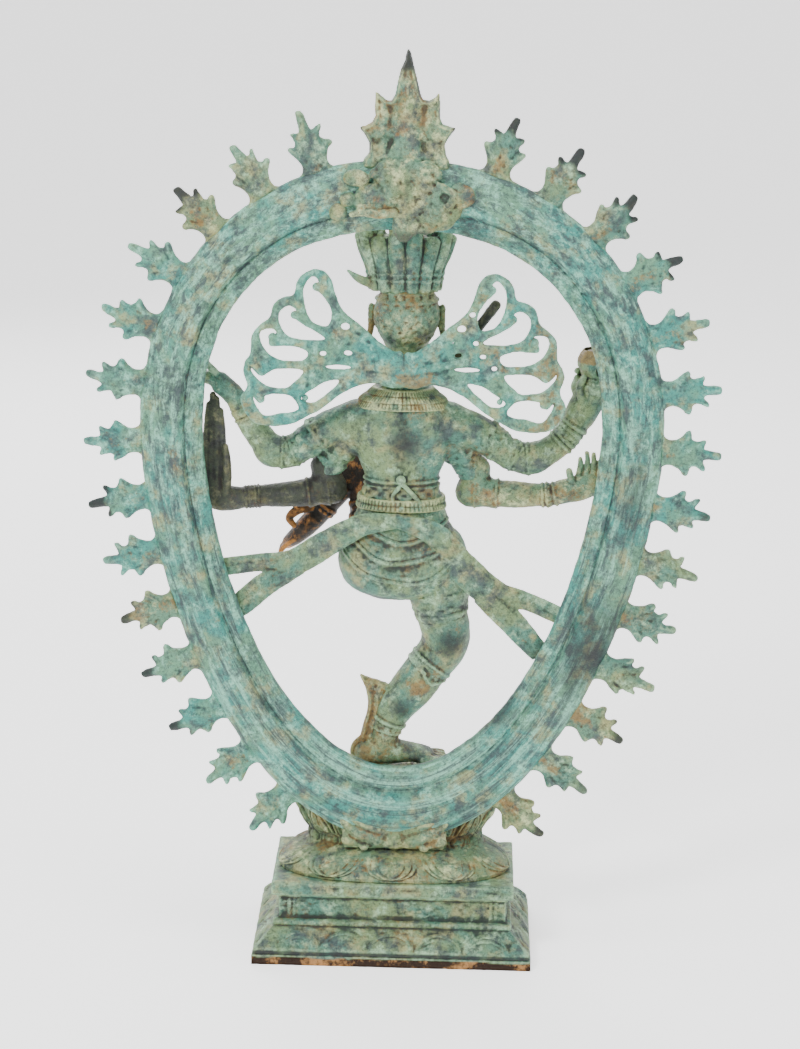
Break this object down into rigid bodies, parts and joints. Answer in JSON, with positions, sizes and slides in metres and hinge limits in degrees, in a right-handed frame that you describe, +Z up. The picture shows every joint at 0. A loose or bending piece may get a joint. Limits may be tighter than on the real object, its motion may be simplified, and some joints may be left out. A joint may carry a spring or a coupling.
{
  "type": "brass nataraja statue",
  "caption": "Cast brass dancing figure with raised leg and four arms, inside a flame-edged oval halo ring on a rectangular double lotus base.",
  "frame": {"origin": "middle of the base's underside", "axes": "+Z up, the figure faces -Y, its left hand is on the +X side"},
  "size_m": [0.6258, 0.167, 0.904],
  "materials": {
    "verdigris": "weathered green patina over cast brass",
    "turquoise": "pale turquoise patina with brushed streaks",
    "ochre_patina": "green patina stained ochre brown in the hollows",
    "dark_bronze": "dark brown patina rubbed bright on edges",
    "fixings": "plain turned"
  },
  "bodies": {
    "root": {"belt": "ochre_patina", "calf_ribbon": "ochre_patina", "crest_mask": "ochre_patina", "dwarf": "ochre_patina", "figure_stud": "fixings", "flame_bowl": "dark_bronze", "flame_left_01": "turquoise", "flame_left_02": "turquoise", "flame_left_03": "turquoise", "flame_left_04": "turquoise", "flame_left_05": "turquoise", "flame_left_06": "turquoise", "flame_left_07": "turquoise", "flame_left_08": "turquoise", "flame_left_09": "turquoise", "flame_left_10": "turquoise", "flame_left_11": "turquoise", "flame_left_12": "turquoise", "flame_left_13": "turquoise", "flame_left_14": "turquoise", "flame_right_01": "verdigris", "flame_right_02": "verdigris", "flame_right_03": "verdigris", "flame_right_04": "verdigris", "flame_right_05": "verdigris", "flame_right_06": "verdigris", "flame_right_07": "verdigris", "flame_right_08": "verdigris", "flame_right_09": "verdigris", "flame_right_10": "verdigris", "flame_right_11": "verdigris", "flame_right_12": "verdigris", "flame_right_13": "verdigris", "flame_right_14": "verdigris", "hair_fan": "verdigris", "hair_rod": "dark_bronze", "halo_crest": "ochre_patina", "halo_pin_left": "fixings", "halo_pin_right": "fixings", "halo_ring": "turquoise", "hand_drum": "dark_bronze", "head": "ochre_patina", "headdress": "verdigris", "lotus_pedestal": "ochre_patina", "lower_left_arm": "dark_bronze", "lower_right_arm": "ochre_patina", "necklace": "ochre_patina", "pedestal_bolt_1": "fixings", "pedestal_bolt_2": "fixings", "pedestal_bolt_3": "fixings", "pedestal_bolt_4": "fixings", "plinth": "verdigris", "raised_leg": "dark_bronze", "sash_left": "verdigris", "sash_right": "verdigris", "standing_leg": "verdigris", "stud_nut": "fixings", "torso": "verdigris", "upper_left_arm": "verdigris", "upper_right_arm": "verdigris"}
  },
  "joints": []
}
